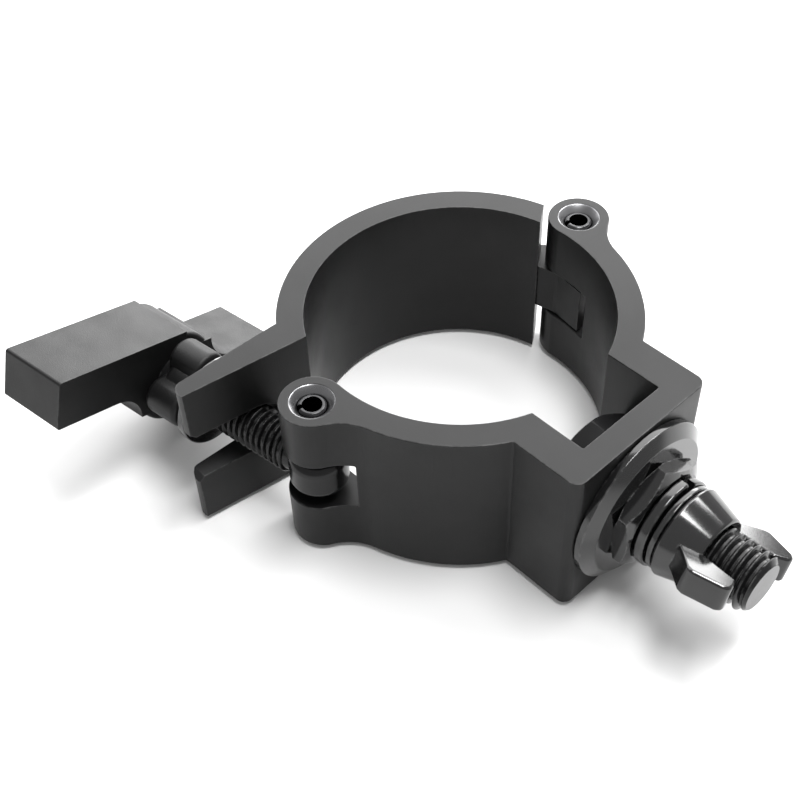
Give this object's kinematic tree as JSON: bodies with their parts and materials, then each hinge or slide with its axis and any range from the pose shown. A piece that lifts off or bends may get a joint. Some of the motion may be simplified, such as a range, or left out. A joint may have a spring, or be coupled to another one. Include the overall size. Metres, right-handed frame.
{
  "type": "pipe clamp",
  "caption": "Hinged aluminium pipe clamp with a swing bolt, a winged clamping handle and an outward mounting bolt with a wing nut.",
  "frame": {"origin": "centre of the closed tube bore, at mid width", "axes": "+Z along the tube, +X along the mounting bolt towards its free end, +Y towards the hinge pin"},
  "size_m": [0.1141, 0.0976, 0.0326],
  "materials": {
    "anodised": "black satin anodised",
    "handle_black": "black satin coated die casting",
    "black_steel": "black zinc, glossy",
    "pin_steel": "dark spring steel"
  },
  "bodies": {
    "frame": {"lower_half": "anodised", "hinge_pin": "pin_steel", "bolt_pin": "pin_steel", "mount_bolt": "black_steel", "wide_washer": "black_steel", "lock_nut": "black_steel"},
    "jaw": {"upper_half": "anodised"},
    "swing": {"swing_bolt": "black_steel"},
    "thrust": {"handle_washer": "black_steel"},
    "handle": {"handle": "handle_black"},
    "loose_washers": {"split_washer": "black_steel", "flat_washer": "black_steel"},
    "wing_nut": {"wing_nut": "black_steel"}
  },
  "joints": [
    {"name": "jaw_open", "type": "hinge", "parent": "frame", "child": "jaw", "pos_m": [-0.0013, 0.0308, 0], "axis": [0, 0, -1], "range_deg": [0, 13]},
    {"name": "bolt_swing", "type": "hinge", "parent": "frame", "child": "swing", "pos_m": [-0.0013, -0.0308, 0], "axis": [0, 0, 1], "range_deg": [0, 110]},
    {"name": "handle_travel", "type": "slide", "parent": "swing", "child": "thrust", "axis": [-0.9903, -0.1392, 0], "range_m": [0, 0.0151]},
    {"name": "handle_turn", "type": "hinge", "parent": "thrust", "child": "handle", "pos_m": [-0.0013, -0.0308, 0], "axis": [-0.9903, -0.1392, 0], "range_deg": [0, 4320]},
    {"name": "wing_travel", "type": "slide", "parent": "frame", "child": "loose_washers", "axis": [1, 0, 0], "range_m": [0, 0.0091]},
    {"name": "wing_turn", "type": "hinge", "parent": "loose_washers", "child": "wing_nut", "pos_m": [0.05, 0, 0], "axis": [1, 0, 0], "range_deg": [0, 2160]}
  ],
  "couplings": [
    {"joint": "handle_travel", "follows": "handle_turn", "m_per_rad": 0.00019894},
    {"joint": "jaw_open", "follows": "handle_turn", "ratio": 0.003009},
    {"joint": "wing_travel", "follows": "wing_turn", "m_per_rad": 0.00023873}
  ]
}
